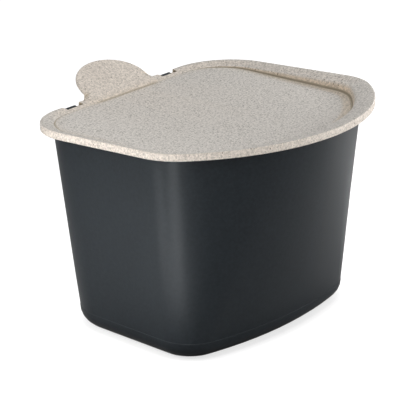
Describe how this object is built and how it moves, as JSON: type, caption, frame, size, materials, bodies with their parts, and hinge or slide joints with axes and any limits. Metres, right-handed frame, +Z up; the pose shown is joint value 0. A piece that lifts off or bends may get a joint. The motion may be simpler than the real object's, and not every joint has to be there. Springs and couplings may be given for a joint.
{
  "type": "compost caddy with hinged lid",
  "caption": "Tapered kitchen compost caddy with a dished lid that hinges open at the back when its raised tab is pressed.",
  "frame": {"origin": "under the middle of the closed caddy's bounding box, on the surface that it stands on", "axes": "+Z up, X along the hinge line, +Y towards the hinge side, -Y towards the bowed front"},
  "size_m": [0.248, 0.2446, 0.1806],
  "materials": {
    "bin": "fine matt texture, charcoal",
    "lid": "matt, cream with fine grey-brown fibre speckle"
  },
  "bodies": {
    "bin": {"bin": "bin"},
    "lid": {"lid": "lid"}
  },
  "joints": [
    {"name": "lid_hinge", "type": "hinge", "parent": "bin", "child": "lid", "pos_m": [0, 0.0914, 0.16165], "axis": [-1, 0, 0], "range_deg": [0, 100]}
  ]
}
